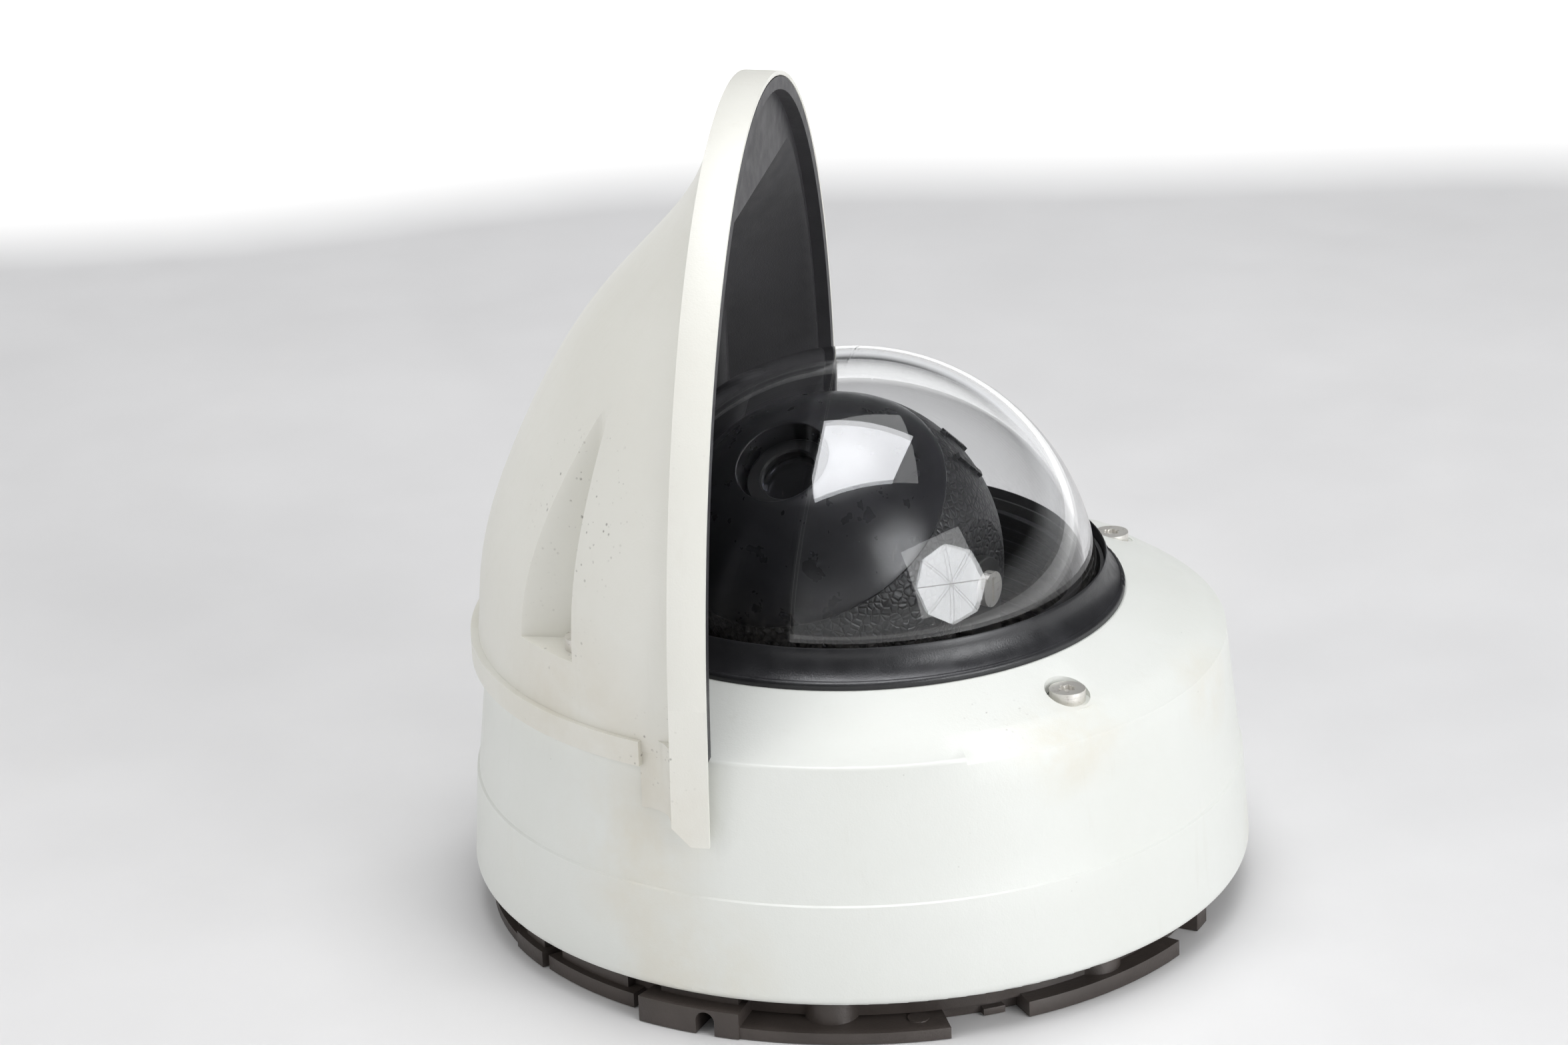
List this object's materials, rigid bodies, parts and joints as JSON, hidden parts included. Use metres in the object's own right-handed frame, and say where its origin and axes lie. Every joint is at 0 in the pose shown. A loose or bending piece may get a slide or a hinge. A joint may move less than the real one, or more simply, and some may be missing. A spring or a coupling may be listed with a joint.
{
  "type": "outdoor dome camera with weathershield",
  "caption": "Outdoor dome camera: clear bubble over a pan, tilt and rotate camera module, round white cover casting, dark base and a hooded weathershield bolted on behind.",
  "frame": {"origin": "centre of the base casting's bottom face", "axes": "+Z from the base towards the bubble, -Y the front of the cover, +Y the weathershield's side"},
  "size_m": [0.18, 0.18, 0.1901],
  "materials": {
    "cast_dark": "satin dark brown-grey paint on an aluminium casting",
    "rubber_black": "dull black seal rubber",
    "white_cast": "powder-coated off-white aluminium casting",
    "white_plastic": "moulded cream-white plastic",
    "liner_black": "fine-textured black plastic",
    "stainless": "stainless steel",
    "bezel_black": "finely textured satin black",
    "clear_dome": "clear polycarbonate",
    "black_plastic": "black plastic",
    "shroud_black": "ridged matt black plastic",
    "ball_black": "leather-grain black plastic",
    "cap_black": "smooth satin black plastic",
    "knob_black": "knurled black plastic",
    "board_green": "green solder mask",
    "chip_black": "moulded black package",
    "heatsink_metal": "extruded aluminium",
    "jack_metal": "tinned steel shell",
    "terminal_green": "green plastic",
    "button_grey": "grey plastic",
    "led_clear": "clear lens",
    "brass": "plain brass",
    "sensor_face": "coated sensor glass",
    "lens_black": "anodised black",
    "ring_black": "knurled black plastic",
    "lens_glass": "coated optical glass"
  },
  "bodies": {
    "housing": {"base_casting": "cast_dark", "inlet_grommet": "rubber_black", "cover_gasket": "rubber_black", "cover_casing": "white_cast", "cover_screws": "stainless", "bezel_ring": "bezel_black", "dome_gasket": "rubber_black", "dome_bubble": "clear_dome", "dome_retainer": "black_plastic", "retainer_screws": "stainless", "inner_shroud": "shroud_black", "weathershield_shell": "white_plastic", "weathershield_liner": "liner_black", "weathershield_screws": "stainless", "board_standoffs": "brass", "main_board": "board_green", "board_screws": "stainless", "processor_chip": "chip_black", "heat_sink": "heatsink_metal", "network_jack": "jack_metal", "terminal_block": "terminal_green", "card_slot": "jack_metal", "switch_body": "black_plastic", "status_led": "led_clear", "pan_base": "black_plastic", "pan_base_screws": "stainless", "pan_retainer": "black_plastic"},
    "card": {"memory_card": "chip_black"},
    "button": {"control_button": "button_grey"},
    "pan": {"pan_turntable": "black_plastic", "yoke_arms": "black_plastic", "yoke_screws": "stainless", "tilt_pins": "stainless"},
    "pan_lock": {"pan_lock_screw": "knob_black"},
    "tilt": {"ball_rear_shell": "ball_black", "ball_front_cap": "cap_black"},
    "roll": {"roll_carrier": "black_plastic", "roll_clip": "black_plastic", "lens_mount": "black_plastic", "sensor_board": "board_green", "sensor_screws": "stainless", "image_sensor": "sensor_face", "lens_barrel": "lens_black", "front_lens": "lens_glass", "lens_front_ring": "lens_black"},
    "focus_grip": {"focus_ring": "ring_black"},
    "focus_group": {"focus_cell": "lens_black", "focus_glass": "lens_glass"},
    "zoom_grip": {"zoom_ring": "ring_black"},
    "zoom_group": {"zoom_cell": "lens_black", "zoom_glass": "lens_glass"}
  },
  "joints": [
    {"name": "pan_turn", "type": "hinge", "parent": "housing", "child": "pan", "pos_m": [0, 0, 0.036], "axis": [0, 0, 1], "range_deg": [-68.4, 291.6]},
    {"name": "pan_lock_turn", "type": "hinge", "parent": "pan", "child": "pan_lock", "pos_m": [0.03487, -0.0138, 0.036], "axis": [0, 0, 1], "range_deg": [0, 270]},
    {"name": "tilt_turn", "type": "hinge", "parent": "pan", "child": "tilt", "pos_m": [-0.00744, 0.00295, 0.08], "axis": [0.3681, 0.9298, 0], "range_deg": [-50, 35]},
    {"name": "roll_turn", "type": "hinge", "parent": "tilt", "child": "roll", "pos_m": [-0.00744, 0.00295, 0.08], "axis": [-0.5333, 0.2111, 0.8192], "range_deg": [-170, 170]},
    {"name": "focus_turn", "type": "hinge", "parent": "roll", "child": "focus_grip", "pos_m": [-0.00744, 0.00295, 0.08], "axis": [-0.5333, 0.2111, 0.8192], "range_deg": [0, 90.2]},
    {"name": "focus_slide", "type": "slide", "parent": "roll", "child": "focus_group", "axis": [-0.5333, 0.2111, 0.8192], "range_m": [0, 0.0015]},
    {"name": "zoom_turn", "type": "hinge", "parent": "roll", "child": "zoom_grip", "pos_m": [-0.00744, 0.00295, 0.08], "axis": [-0.5333, 0.2111, 0.8192], "range_deg": [0, 100.2]},
    {"name": "zoom_slide", "type": "slide", "parent": "roll", "child": "zoom_group", "axis": [-0.5333, 0.2111, 0.8192], "range_m": [0, 0.0042]},
    {"name": "button_press", "type": "slide", "parent": "housing", "child": "button", "axis": [0, 0, -1], "range_m": [0, 0.0006], "stiffness_N_per_m": 400},
    {"name": "card_slide", "type": "slide", "parent": "housing", "child": "card", "axis": [0, 1, 0], "range_m": [0, 0.012]}
  ],
  "couplings": [
    {"joint": "focus_turn", "follows": "focus_slide", "rad_per_m": 1047.2},
    {"joint": "zoom_turn", "follows": "zoom_slide", "rad_per_m": 415.56}
  ]
}
